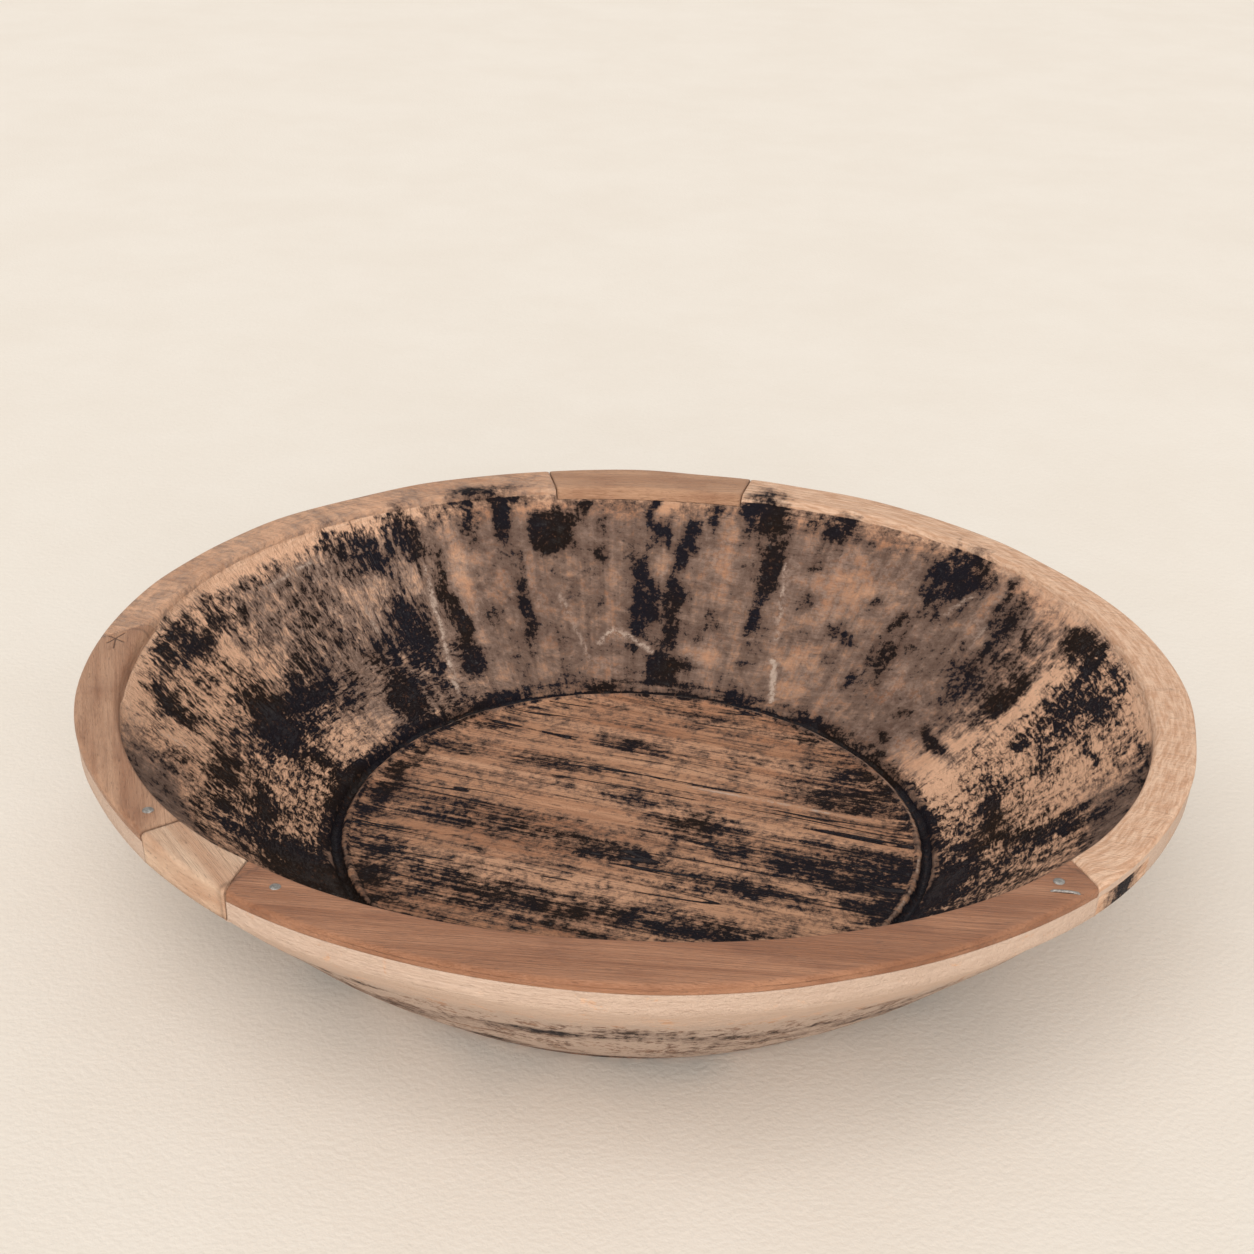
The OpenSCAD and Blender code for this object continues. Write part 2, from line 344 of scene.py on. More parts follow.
def carved(zone, u, angle):
    """One zone's row with the marks of carving on it, as (radius, height)."""
    r, z = section(zone, u, angle)
    x, y = r * cosd(angle), r * sind(angle)
    if zone == "floor":
        return carved_floor(u, r, z, *along_grain(x, y))
    if zone in ("lip", "groove"):
        worn = 0.3 * ring_lumps(angle, 4, r / 4, 23)
        return r, z + (worn + 0.2 * ring_lumps(angle, 1.3, r / 2, 24))
    if zone == "wall":
        return carved_wall(u, angle, r, z)
    if zone in ("inner_edge", "top", "outer_edge"):
        return r, z - RIM_SINK + 0.3 * lumps(x / 26, y / 26, z / 30, 41)
    if zone in ("band", "outer"):
        fade = smooth(1 - u, 0.0, 0.06) if zone == "outer" else 0.25
        offset = (0.7 * hills(x, y, 2.5 * z, 36, 51) - OUTER_SINK) * fade
        return r + INTO_OUTER[0] * offset, z - INTO_OUTER[1] * offset * (zone == "outer")
    return r, z


def along_grain(x, y):
    """The same place measured along and across the wood's grain."""
    c, s = math.cos(math.radians(GRAIN_TURN)), math.sin(math.radians(GRAIN_TURN))
    return c * x + s * y, c * y - s * x


def end_share(angle):
    """1 where the wall cuts across the grain's ends, and 0 where it runs along the grain."""
    return smooth(abs(cosd(angle - GRAIN_TURN)), 0.62, 0.85)


def crack_field(gx, gy, cracks):
    """1 inside a crack and 0 away from it. Each crack wanders a little across the grain."""
    total = 0 * gx
    for n, (x, y, half_len, half_wid) in enumerate(cracks):
        cx, cy = along_grain(x, y)
        wander = 1.4 * lumps((gx - cx) / 22, 0 * gx + n, 0 * gx, 61)
        inside = np.exp(-((gy - cy - wander) / half_wid) ** 2) * smooth(half_len - abs(gx - cx), 0, 12)
        total = np.maximum(total, inside)
    return total


# ---------------- building meshes

SEAM_SPLIT = 0.05
SEAM_OFFSETS = (SEAM_SPLIT, 0.18, 0.4)


def body_stations():
    """Angles round the bowl, with a close group of them on each side of every seam."""
    even = np.arange(STATIONS) * 360 / STATIONS
    clear = [a for a in even if all(abs(turn_from(a, s[0])) > 0.6 for s in SEAMS)]
    close = [s[0] + side * d for s in SEAMS for side in (-1, 1) for d in SEAM_OFFSETS]
    return np.sort(np.array(clear + close) % 360)


def on_seams(angle, r):
    """Turns the angle near each seam, so that a line of the mesh lies along it."""
    turned = angle + 0 * r
    for middle, slant in SEAMS:
        near = 1 - smooth(abs(turn_from(angle, middle)), 0.6, SEAM_REACH)
        turned = turned + slant * (r - MEAN_RIM_R) * near * smooth(r, 150, 180)
    return turned


def seam_wear(zone, angle):
    """How far the rim's surface dips towards each seam."""
    if zone not in ("inner_edge", "top", "outer_edge", "band"):
        return 0 * angle
    dip = 0 * angle
    for middle, _ in SEAMS:
        away = abs(turn_from(angle, middle)) * math.radians(MEAN_RIM_R)
        dip = np.maximum(dip, 0.3 * np.exp(-((away - 0.1) / 0.7) ** 2))
    return dip


def within(angle, first, last):
    return (turn_from(angle, first[0]) > 0) & (turn_from(angle, last[0]) < 0)


def row_point(zone, u, angle):
    """(x, y, z) of one row of the bowl at each angle."""
    r, z = carved(zone, u, angle)
    z = z - seam_wear(zone, angle)
    turned = on_seams(angle, r)
    return np.stack([r * cosd(turned), r * sind(turned), z], -1)


def body_rows():
    """Every (zone, u) of the bowl's section, from the middle of the floor to the middle of the foot."""
    rows = []
    for zone, count in ZONES:
        last = count if zone != "bottom" else count - 1
        shares = BAND_ROWS if zone == "band" else [n / count for n in range(1, last + 1)]
        rows += [(zone, u) for u in shares]
    return rows


def cut_rebates(grid, rows, angle):
    """Cuts the rim down to each rebate's floor, which ends at the wall's own outer face."""
    for _, first, last, depth in LET_INS:
        inside = within(angle, first, last)
        grid[:, inside, 2] = np.minimum(grid[:, inside, 2], HEIGHT - depth)
        share = (depth - OUTER_ROUND) / (BAND - OUTER_ROUND)
        end = next(i for i, (zone, u) in enumerate(rows) if zone == "band" and u > share - 0.001)
        reach = np.hypot(grid[end, inside, 0], grid[end, inside, 1])
        for i in range(end - 1, -1, -1):
            if rows[i][0] not in ("top", "outer_edge", "band"):
                break
            r = np.hypot(grid[i, inside, 0], grid[i, inside, 1])
            shrink = np.minimum(1, (reach - 0.03 * (end - i)) / r)
            grid[i, inside, :2] *= shrink[:, None]


def grid_faces(rows, columns, closed_columns, closed_rows=False):
    """Quads over a grid of vertices numbered row by row."""
    faces = []
    for i in range(rows if closed_rows else rows - 1):
        for j in range(columns if closed_columns else columns - 1):
            k, below = (j + 1) % columns, (i + 1) % rows
            faces.append((i * columns + j, i * columns + k, below * columns + k, below * columns + j))
    return faces


def cap_faces(rows, columns):
    """Fans that close a grid's first and last rows on the two vertices that follow it."""
    top, under, last = rows * columns, rows * columns + 1, (rows - 1) * columns
    faces = [(top, (j + 1) % columns, j) for j in range(columns)]
    return faces + [(under, last + j, last + (j + 1) % columns) for j in range(columns)]


def show(name, data):
    """A new object in the scene."""
    item = bpy.data.objects.new(name, data)
    bpy.context.scene.collection.objects.link(item)
    return item


def make_piece(name, points, faces, values):
    """A smooth mesh piece in the row frame, with its surface values stored on its vertices."""
    mesh = bpy.data.meshes.new(name)
    mesh.from_pydata((points * MM).tolist(), [], faces)
    mesh.validate()
    for key, value in values.items():
        mesh.attributes.new(key, "FLOAT", "POINT").data.foreach_set("value", value.astype(np.float32))
    mesh.shade_smooth()
    return show(name, mesh)


# ---------------- what is painted where


def marks(place, share, table, width=1.0):
    """The strongest of a table of soft spots at each place on the wall."""
    total = 0 * place
    for angle, level, half_turn, half_share, strength in table:
        spread = (turn_from(place, angle) / (half_turn * width)) ** 2 + ((share - level) / half_share) ** 2
        total = np.maximum(total, strength * np.exp(-0.69 * spread ** 1.4))
    return total


# Bare patches on the wall, in the same form as the stains.
BARE_PATCHES = (
    (187, 0.97, 7, 0.1, 0.5), (186, 0.6, 3, 0.12, 0.3), (173, 0.58, 7, 0.12, 0.15), (160, 0.6, 3, 0.14, 0.2),
    (145, 1.0, 16, 0.05, 0.5), (135, 0.58, 3, 0.12, 0.35), (127, 0.62, 1.2, 0.14, 0.35),
    (118.5, 0.6, 1.8, 0.22, 0.3), (107.5, 0.7, 1.3, 0.25, 0.3), (86.3, 0.92, 1.1, 0.07, 0.5),
    (86.8, 0.62, 0.9, 0.1, 0.45), (77, 0.7, 2.5, 0.2, 0.3), (78, 0.17, 4, 0.05, 0.35),
    (57, 0.62, 7, 0.2, 0.3), (58, 0.15, 8, 0.1, 0.2), (17, 0.5, 1.2, 0.2, 0.5), (19.5, 0.3, 1.6, 0.09, 0.5),
    (20, 0.08, 14, 0.05, 0.3), (355, 0.6, 7, 0.2, 0.25), (357, 0.98, 7, 0.07, 0.35), (5, 0.36, 9, 0.1, 0.15),
    (150, 0.1, 8, 0.06, 0.2), (176, 0.12, 12, 0.1, 0.12), (38, 0.28, 6, 0.06, 0.25),
    (34.5, 0.8, 0.8, 0.2, 0.4),
)

# Pale scratches: (angle, share of height) at each end, half width in millimetres, and strength.
SCRATCHES = (
    (124.3, 0.68, 125.2, 0.4, 1.3, 0.9), (125.2, 0.4, 127.5, 0.08, 1.4, 1.0),
    (136.5, 0.55, 137, 0.3, 1.2, 0.6), (97, 0.2, 94.6, 0.26, 1.5, 0.9), (94.6, 0.26, 91.5, 0.235, 1.5, 0.9),
    (91.5, 0.235, 87, 0.16, 1.5, 0.8), (67, 0.72, 64.5, 0.3, 1.3, 0.6), (63.8, 0.2, 60.4, 0.01, 1.6, 1.0),
    (150, 0.83, 138, 0.87, 1.4, 0.6), (103.5, 0.45, 99, 0.1, 1.8, 0.45), (99, 0.1, 94, 0.07, 1.8, 0.35),
    (37.5, 0.82, 39.5, 0.68, 1.5, 0.7), (32.5, 0.72, 32.3, 0.6, 1.4, 0.6),
    (189, 0.78, 187.5, 0.66, 1.8, 0.8),
)

# One degree along the wall and the length of its slope, for scratches measured in millimetres.
WALL_MM_A_DEGREE = 2.7
WALL_SLOPE_MM = 100


def scratch_values(angle, share):
    """How strongly the pale scratches mark each place on the wall."""
    total = 0 * angle
    for a1, s1, a2, s2, half, strength in SCRATCHES:
        du, dv = (a2 - a1) * WALL_MM_A_DEGREE, (s2 - s1) * WALL_SLOPE_MM
        pu, pv = turn_from(angle, a1) * WALL_MM_A_DEGREE, (share - s1) * WALL_SLOPE_MM
        t = np.clip((pu * du + pv * dv) / (du * du + dv * dv), 0, 1)
        off = np.hypot(pu - t * du, pv - t * dv)
        total = np.maximum(total, strength * np.exp(-(off / half) ** 2))
    return total


def wall_values(angle, share):
    """Stain, wash, end grain and the way the fibres lie on the inner wall."""
    up = share * WALL_SLOPE_MM
    sway = 1.5 * ring_lumps(angle, 4, up / 11, 91)
    sway = sway + 0.7 * ring_lumps(angle, 1.5, up / 5, 92)
    sag = 0.05 * ring_lumps(angle, 3.3, up / 12, 93)
    sag = sag + 0.02 * ring_lumps(angle, 1.3, up / 5, 94)
    place, level = angle + sway * 0.8, share + sag
    ends = end_share(angle)
    far = smooth(sind(angle), 0.35, 0.75)
    left = smooth(-cosd(angle), 0.5, 0.8)
    side = smooth(-sind(angle), -0.45, -0.1)
    facet = smooth(-sind(angle), 0.1, 0.3) * smooth(-sind(angle), 0.75, 0.45)
    facet = facet * smooth(share + sag, 0.4, 0.65)
    near = smooth(-sind(angle), 0.4, 0.75)
    stain = 0.31 + 0.17 * ends * side + 0.07 * far + 0.06 * left * smooth(share, 0.75, 0.35) + 0.1 * near
    stain = stain + 0.12 * smooth(-sind(angle), 0.2, 0.5) * smooth(share, 0.5, 0.1)
    stain = stain + 0.36 * marks(place, level, WALL_STAINS) - 0.75 * marks(place, level, BARE_PATCHES)
    stain = stain + 0.3 * smooth(share, 0.04, 0.0) - 0.3 * smooth(share, 0.93, 1.0) * (1 - far)
    wash = 0.25 + (0.55 * smooth(sind(angle), 0.15, 0.6) + 0.35 * near) * smooth(share, 1.02, 0.8)
    wash = wash + 0.35 * marks(place, level, WALL_STAINS, 1.7) - 0.8 * marks(place, level, BARE_PATCHES)
    lie = np.where(cosd(angle) < 0, smooth(share, 0.45, 0.25), 0.25 + 0.75 * smooth(angle % 360, 22, 10))
    lie = np.where(angle % 360 > 300, 0.8, lie)
    return stain - 0.04 * facet, np.maximum(wash, 0.95 * facet), ends * (1 - 0.7 * facet), lie


def floor_values(x, y, r):
    """Stain and wash on the raised floor."""
    gx, gy = along_grain(x, y)
    sway = 3.0 * lumps(gx / 24, gy / 7, 0 * gx, 95) + 1.2 * lumps(gx / 9, gy / 2.5, 0 * gx, 96)
    stain = 0.32 + 0.12 * smooth(r, 92, FLOOR_R) - 0.02 * smooth(y, 30, 80)
    stain = stain + 0.06 * smooth(-y, -20, 60)
    strongest = 0 * x
    for mx, my, half_len, half_wid, strength in FLOOR_STAINS:
        cx, cy = along_grain(mx, my)
        spread = ((gx - cx + 2 * sway) / (1.2 * half_len)) ** 2 + ((gy - cy + sway) / (1.2 * half_wid)) ** 2
        strongest = np.maximum(strongest, strength * np.exp(-0.69 * spread ** 1.2))
    pale = np.exp(-((gx + 22) / 20) ** 2 - ((gy - 8) / 9) ** 2)
    return stain + 0.27 * strongest - 0.14 * pale, 0.3 + 0.3 * strongest - 0.2 * pale


def surface(angle, stain, wash, ends=0.0, pale=0.0, lie=0.0, scratch_and_highlight=0.0):
    """One row's values at each angle, in the order of VALUE_NAMES."""
    return tuple(value + 0 * angle for value in (stain, wash, ends, pale, lie, scratch_and_highlight))


def floor_surface(angle, x, y):
    """The floor's stain, and the pale sliver where a splinter came away."""
    gx, gy = along_grain(x, y)
    *middle, half_len, half_wid = SPLINTER
    cx, cy = along_grain(*middle)
    sliver = np.exp(-((gy - cy) / half_wid) ** 2) * smooth(half_len - abs(gx - cx), 0, 20)
    stain, wash = floor_values(x, y, np.hypot(x, y))
    return surface(angle, stain, wash, scratch_and_highlight=0.7 * sliver)


def lip_surface(angle, u):
    """Stain on the ring round the floor, with a painted highlight along its top: pale, broken-up colour
    where light catches the ring.
    """
    worn = 0.5 * ring_lumps(angle, 9, 0 * angle, 97)
    thin = 0.5 * ring_lumps(angle, 2.2, 0 * angle, 90)
    # painted highlight: pale colour along the top of the ring, stronger on the right side
    crest_highlight = (0.5 < u < 0.9) * (0.3 + worn + 0.6 * thin + 0.2 * cosd(angle))
    return surface(angle, 0.52 + 0.3 * worn + 0.25 * thin, 0.6, scratch_and_highlight=crest_highlight)


def groove_surface(angle, u):
    """Nearly unbroken stain in the groove, thinner on its outer side."""
    worn = 0.25 * ring_lumps(angle, 7, 0 * angle + 3 * u, 98)
    return surface(angle, 0.95 - 0.35 * (u > 0.8) + worn, 0.8)


def wall_surface(angle, share):
    """The inner wall's stain, paler just below the rim."""
    stain, wash, ends, lie = wall_values(angle, share)
    pale = 0.6 * smooth(share, 0.93, 1.0)
    return surface(angle, stain, wash, ends, pale, lie, scratch_values(angle, share))


# Where each part of the rim starts and how far it runs on, as shares of the wall's height.
RIM_LEVELS = {"inner_edge": (1.0, 0.03), "top": (1.03, 0.25), "outer_edge": (1.3, 0.0)}


def rim_surface(zone, u, angle):
    """Pale bare wood, duller on the left, with the far wall's stains running over it."""
    start, reach = RIM_LEVELS[zone]
    sway = 1.2 * ring_lumps(angle, 3, 0 * angle + 4 * u, 99)
    over = marks(angle + sway, start + reach * u + 0 * angle, WALL_STAINS) * smooth(sind(angle), 0.3, 0.8)
    dull = 0.75 * smooth(-cosd(angle), -0.3, 0.6)
    wash = 0.1 + 0.3 * over + 0.42 * dull
    return surface(angle, 0.06 + 0.55 * over, wash, 0.4 * end_share(angle), 1 - dull, 1.0)


# The dark spot on the band at the front right: its angle and half width in degrees.
BAND_SPOT = (322, 4)


def band_surface(angle, u):
    """Pale, rubbed wood on the band under the rim, with one dark spot."""
    middle, half_turn = BAND_SPOT
    spot = 0.6 * np.exp(-(turn_from(angle, middle) / half_turn) ** 2) * (u > 0.3)
    rubbed = 2.4 * smooth(spot, 0.2, 0.05)
    return surface(angle, 0.06 + spot, 0.05, 0.4 * end_share(angle), 1.0, 1.0, rubbed)


def outer_surface(angle, u, height):
    """Rubbed wood that turns to streaked, worn stain down the outer wall."""
    stained = smooth(u, 0.02, 0.3)
    streak = ring_lumps(angle, 9, height / 6.5, 71)
    stain = 0.1 + 0.62 * stained + 0.3 * streak * stained
    rubbed = 2.2 - 1.2 * stained + 0.3 * stained * ring_lumps(angle, 18, height / 8, 72)
    wash, pale = 0.05 + 0.75 * stained, 1 - 0.7 * stained
    return surface(angle, stain, wash, 0.3 * end_share(angle), pale, 1.0, rubbed)


def body_values(zone, u, angle, points):
    """The painted values of one row of the bowl."""
    if zone == "floor":
        return floor_surface(angle, points[:, 0], points[:, 1])
    if zone == "lip":
        return lip_surface(angle, u)
    if zone == "groove":
        return groove_surface(angle, u)
    if zone == "wall":
        return wall_surface(angle, u + 0 * angle)
    if zone in RIM_LEVELS:
        return rim_surface(zone, u, angle)
    if zone == "band":
        return band_surface(angle, u)
    if zone == "outer":
        return outer_surface(angle, u, points[:, 2])
    return surface(angle, 0.4, 0.6)


# The values that the shader reads. Grit is how much the fibres break up the stain.
VALUE_NAMES = ("stain", "wash", "ends", "pale", "lie", "scratch_and_highlight", "grit", "planks", "level")
GRIT_PLAIN = 0.13
GRIT_FLOOR = 0.18
GRIT_ENDS = 0.32


def slope_length(points):
    """How far along the section each row lies, for streaks that run down the wall."""
    steps = np.linalg.norm(np.diff(points, axis=0), axis=-1)
    return np.vstack([np.zeros((1, points.shape[1])), np.cumsum(steps, axis=0)])


def build_body():
    """The whole bowl as one closed mesh, cut down where the let-in pieces sit."""
    angle = body_stations()
    rows = body_rows()
    points, values = [], []
    for zone, u in rows:
        row = row_point(zone, u, angle)
        points.append(row)
        painted = body_values(zone, u, np.degrees(np.arctan2(row[:, 1], row[:, 0])) % 360, row)
        planks = 0 * angle + (zone == "floor")
        grit = GRIT_PLAIN + GRIT_FLOOR * planks + GRIT_ENDS * painted[2]
        values.append((*painted, grit, planks))
    grid = np.array(points)
    cut_rebates(grid, rows, angle)
    levels = slope_length(grid) * MM
    table = {name: np.array([row[i] for row in values]).ravel() for i, name in enumerate(VALUE_NAMES[:-1])}
    table["level"] = levels.ravel()
    count, across = len(rows), len(angle)
    vertices = np.vstack([grid.reshape(-1, 3), [[0, 0, FLOOR_T], [0, 0, 0]]])
    for name in VALUE_NAMES:
        ends = (table[name][0], table[name][-1])
        table[name] = np.append(table[name], ends)
    faces = grid_faces(count, across, True) + cap_faces(count, across)
    return make_piece("carved_bowl", vertices, [f[::-1] for f in faces], table)


# Cracks in the left strip: (angle, radius) at each end, half width in millimetres.
RIM_CRACKS = (
    (174.6, 201, 177.2, 205, 0.5), (176.8, 199, 175.4, 206.5, 0.5), (175.9, 203, 178.4, 201.5, 0.4),
    (174.2, 192, 176.3, 187, 0.5),
)
RIM_CRACK_DEPTH = 0.5
# The cracked strip has closer stations near its start, so that the cracks show in its mesh.
CRACKED_PIECE = "left_rim_strip"
CRACKED_TURN = 9.0
CLOSE_STEP = 0.15
LET_IN_STEP = 0.5
# A let-in piece lies this far above the floor of its rebate.
UNDER_GAP = 0.03


def stroke_values(x, y, strokes):
    """1 on each stroke of a table and 0 away from it."""
    total = 0 * x
    for a1, r1, a2, r2, half in strokes:
        sx, sy = r1 * cosd(a1), r1 * sind(a1)
        dx, dy = r2 * cosd(a2) - sx, r2 * sind(a2) - sy
        t = np.clip(((x - sx) * dx + (y - sy) * dy) / (dx * dx + dy * dy), 0, 1)
        off = np.hypot(x - sx - t * dx, y - sy - t * dy)
        total = np.maximum(total, np.exp(-(off / half) ** 2))
    return total


def let_in_rows(angle, depth):
    """The rows of a let-in piece's section, from its inner lower edge over the top to its outer one."""
    low = HEIGHT - depth + UNDER_GAP
    start = (low - WALL_BASE) / (HEIGHT - edge_round(angle) - WALL_BASE)
    rows = [("wall", start + (1 - start) * n / 7) for n in range(8)]
    for zone, count in (("inner_edge", 6), ("top", 34), ("outer_edge", 5)):
        rows += [(zone, n / count) for n in range(1, count + 1)]
    end = (HEIGHT - OUTER_ROUND - low) / (BAND - OUTER_ROUND)
    rows += [("band", end * n / 6) for n in range(1, 7)]
    return rows


def let_in_stations(name, first, last):
    """Angles along a let-in piece, closer together at its ends."""
    edge = SEAM_SPLIT + math.degrees(SEAM_GAP / MEAN_RIM_R)
    span = (last - first) % 360
    inner = np.linspace(first + 0.6, last - 0.6, int(span / LET_IN_STEP))
    if name == CRACKED_PIECE:
        fine = np.arange(first + 0.7, first + CRACKED_TURN, CLOSE_STEP)
        inner = np.concatenate([fine, inner[inner > fine[-1] + 0.2]])
    start = [first + edge, first + 0.22, first + 0.4]
    end = [last - 0.4, last - 0.22, last - edge]
    return np.concatenate([start, inner, end])


def build_let_in(name, first, last, depth):
    """One let-in piece of the rim, closed all round, a hair short of its rebate."""
    angle = let_in_stations(name, first[0], last[0])
    rows = let_in_rows(angle, depth)
    grid = np.array([row_point(zone, u, angle) for zone, u in rows])
    under = [grid[-1] + (grid[0] - grid[-1]) * t for t in (0.25, 0.5, 0.75)]
    grid = np.concatenate([grid, np.array(under)])
    count, across = grid.shape[:2]
    faces = grid_faces(count, across, False, closed_rows=True)
    middles = [grid[:, 0].mean(0), grid[:, -1].mean(0)]
    vertices = np.vstack([grid.reshape(-1, 3), middles])
    for i in range(count):
        k = (i + 1) % count
        faces.append((count * across, i * across, k * across))
        faces.append((count * across + 1, k * across + across - 1, i * across + across - 1))
    r = np.hypot(vertices[:, 0], vertices[:, 1])
    turn = np.degrees(np.arctan2(vertices[:, 1], vertices[:, 0])) % 360
    ends = np.minimum(abs(turn_from(turn, first[0])), abs(turn_from(turn, last[0]))) * math.radians(1) * r
    cracks = stroke_values(vertices[:, 0], vertices[:, 1], RIM_CRACKS)
    vertices[:, 2] -= RIM_CRACK_DEPTH * cracks * (vertices[:, 2] > HEIGHT - depth + 1)
    values = {"seam": np.maximum(np.exp(-(ends / 1.6) ** 2), 1.6 * cracks)}
    return make_piece(name + "_carved", vertices, [f[::-1] for f in faces], values)


NAIL_SEGMENTS = 40
SHANK_R = 0.9


def lathe(name, profile, centre):
    """A closed, slightly uneven round piece from (radius, height) points that start and end on the axis."""
    angle = np.arange(NAIL_SEGMENTS) * 360 / NAIL_SEGMENTS
    rings = []
    for r, z in profile[1:-1]:
        uneven = 1 + 0.03 * ring_lumps(angle, 40, 0 * angle + z, 81)
        rings.append(np.stack([r * cosd(angle) * uneven, r * sind(angle), z + 0 * angle], -1))
    points = np.vstack(rings + [[[0, 0, profile[0][1]], [0, 0, profile[-1][1]]]]) + np.array(centre)
    faces = grid_faces(len(rings), NAIL_SEGMENTS, True) + cap_faces(len(rings), NAIL_SEGMENTS)
    return make_piece(name, points, [f[::-1] for f in faces], {})


def build_nail(node):
    """A hammered nail: a domed, slightly dented head over a straight shank with a point."""
    low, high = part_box(node)
    head_r = (high.x - low.x) / 2 / MM
    centre = ((high.x + low.x) / 2 / MM, (high.y + low.y) / 2 / MM, 0)
    top, tip = high.z / MM, low.z / MM
    head = [(0, 0.25), (0.4, 0.22), (0.75, 0.08), (0.95, -0.15), (1, -0.4), (0.95, -0.7)]
    profile = [(head_r * share, top + rise) for share, rise in head]
    profile += [(SHANK_R, top - 0.8), (SHANK_R, tip + 3), (0.4, tip + 1), (0, tip)]
    return lathe(node + "_forged", profile, centre)


WIRE_R = 0.55
LEG_LEN = 10
STAPLE_TURN = 8


def build_staple(node):
    """A bent wire staple: a slightly bowed crown and two straight legs."""
    low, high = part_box(node)
    half = ((high.x - low.x) / MM - 2 * WIRE_R) / 2 / math.cos(math.radians(STAPLE_TURN))
    centre = Vector(((high.x + low.x) / 2, (high.y + low.y) / 2, high.z)) / MM
    path = [
        (-half, 0, -LEG_LEN), (-half, 0, -1.6), (-half + 0.25, 0, -0.6), (-half + 0.9, 0, -0.2),
        (-half / 3, 0, 0.0), (half / 3, 0, 0.02),
        (half - 0.9, 0, -0.15), (half - 0.25, 0, -0.6), (half, 0, -1.6), (half, 0, -LEG_LEN),
    ]
    curve = bpy.data.curves.new(node, "CURVE")
    curve.dimensions, curve.bevel_depth, curve.bevel_resolution = "3D", WIRE_R * MM, 4
    curve.use_fill_caps = True
    spline = curve.splines.new("POLY")
    spline.points.add(len(path) - 1)
    turn = Matrix.Rotation(math.radians(-STAPLE_TURN), 3, "Z")
    for point, place in zip(spline.points, path):
        point.co = (*((turn @ Vector(place) + centre) * MM), 1)
    shape = show(node + "_curve", curve)
    mesh = bpy.data.meshes.new_from_object(shape)
    bpy.data.objects.remove(shape)
    return show(node + "_bent", mesh)


# ---------------- materials


class Graph:
    """A material's node graph, with short names for the nodes used here."""

    def __init__(self, name):
        self.material = bpy.data.materials.new(name)
        self.material.use_nodes = True
        self.nodes = self.material.node_tree.nodes
        self.links = self.material.node_tree.links
        self.nodes.clear()
        output = self.nodes.new("ShaderNodeOutputMaterial")
        self.shader = self.nodes.new("ShaderNodeBsdfPrincipled")
        self.links.new(self.shader.outputs[0], output.inputs[0])
        self.place = self.nodes.new("ShaderNodeTexCoord").outputs["Object"]

    def feed(self, socket, value):
        """Links value to the socket, or sets it if value is a plain number or colour."""
        if isinstance(value, bpy.types.NodeSocket):
            self.links.new(value, socket)
        else:
            socket.default_value = value

    def add(self, kind, inputs, **settings):
        """A new node with these settings, and with its inputs linked or set."""
        node = self.nodes.new("ShaderNode" + kind)
        for key, value in settings.items():
            setattr(node, key, value)
        for key, value in inputs.items():
            self.feed(node.inputs[key], value)
        return node

    def value(self, name):
        """A value stored on the mesh's vertices."""
        return self.add("Attribute", {}, attribute_name=name).outputs["Fac"]

    def math(self, kind, a, b=0.0):
        return self.add("Math", {0: a, 1: b}, operation=kind).outputs[0]

    def times(self, a, b):
        return self.math("MULTIPLY", a, b)

    def plus(self, total, *others):
        for other in others:
            total = self.math("ADD", total, other)
        return total

    def minus(self, a, b):
        return self.math("SUBTRACT", a, b)

    def stretched(self, scales, turn=0.0, place=None):
        """The place measured along a line turned about Z, scaled to cells per metre on each axis."""
        place = place or self.place
        if turn:
            turned = {"Vector": place, "Rotation": (0, 0, math.radians(-turn))}
            place = self.add("Mapping", turned).outputs[0]
        return self.add("Mapping", {"Vector": place, "Scale": scales}).outputs[0]

    def noise(self, scales, detail, roughness, distortion=0.0, turn=0.0, place=None):
        """Noise centred on 0 and mostly within 1 of it, at so many cells per metre on each axis."""
        node = self.add("TexNoise", {
            "Vector": self.stretched(scales, turn, place), "Scale": 1.0, "Detail": detail,
            "Roughness": roughness, "Distortion": distortion})
        return self.times(self.minus(node.outputs["Fac"], 0.5), 3.0)

    def rise(self, value, low, high):
        """0 below low and 1 above high."""
        inputs = {"Value": value, "From Min": low, "From Max": high}
        return self.add("MapRange", inputs, interpolation_type="SMOOTHSTEP").outputs[0]

    def blend(self, share, a, b):
        """Colour a, turning to colour b as share goes from 0 to 1."""
        return self.add("Mix", {0: share, 6: a, 7: b}, data_type="RGBA").outputs[2]

    def between(self, share, a, b):
        """Number a, turning to number b as share goes from 0 to 1."""
        return self.add("Mix", {0: share, 2: a, 3: b}).outputs[0]

    def bump(self, height, depth, strength=1.0):
        inputs = {"Strength": strength, "Distance": depth, "Height": height}
        return self.add("Bump", inputs).outputs[0]

    def finish(self, colour, roughness, normal):
        self.feed(self.shader.inputs["Base Color"], colour)
        self.feed(self.shader.inputs["Roughness"], roughness)
        self.links.new(normal, self.shader.inputs["Normal"])
        return self.material


def rgb(red, green, blue):
    """A linear colour from ordinary 0 to 255 screen values."""
    def linear(c):
        c = c / 255
        return c / 12.92 if c <= 0.04045 else ((c + 0.055) / 1.055) ** 2.4
    return (linear(red), linear(green), linear(blue), 1.0)


BARE_DARK = rgb(164, 111, 79)
BARE_LIGHT = rgb(212, 163, 130)
BARE_CLOUD = rgb(198, 150, 116)
END_GRAIN = rgb(238, 190, 156)
RIM_DARK = rgb(204, 158, 126)
RIM_LIGHT = rgb(234, 196, 166)
DARK_FIBRE = rgb(124, 80, 56)
WASH_DARK = rgb(80, 67, 62)
WASH_LIGHT = rgb(156, 134, 121)
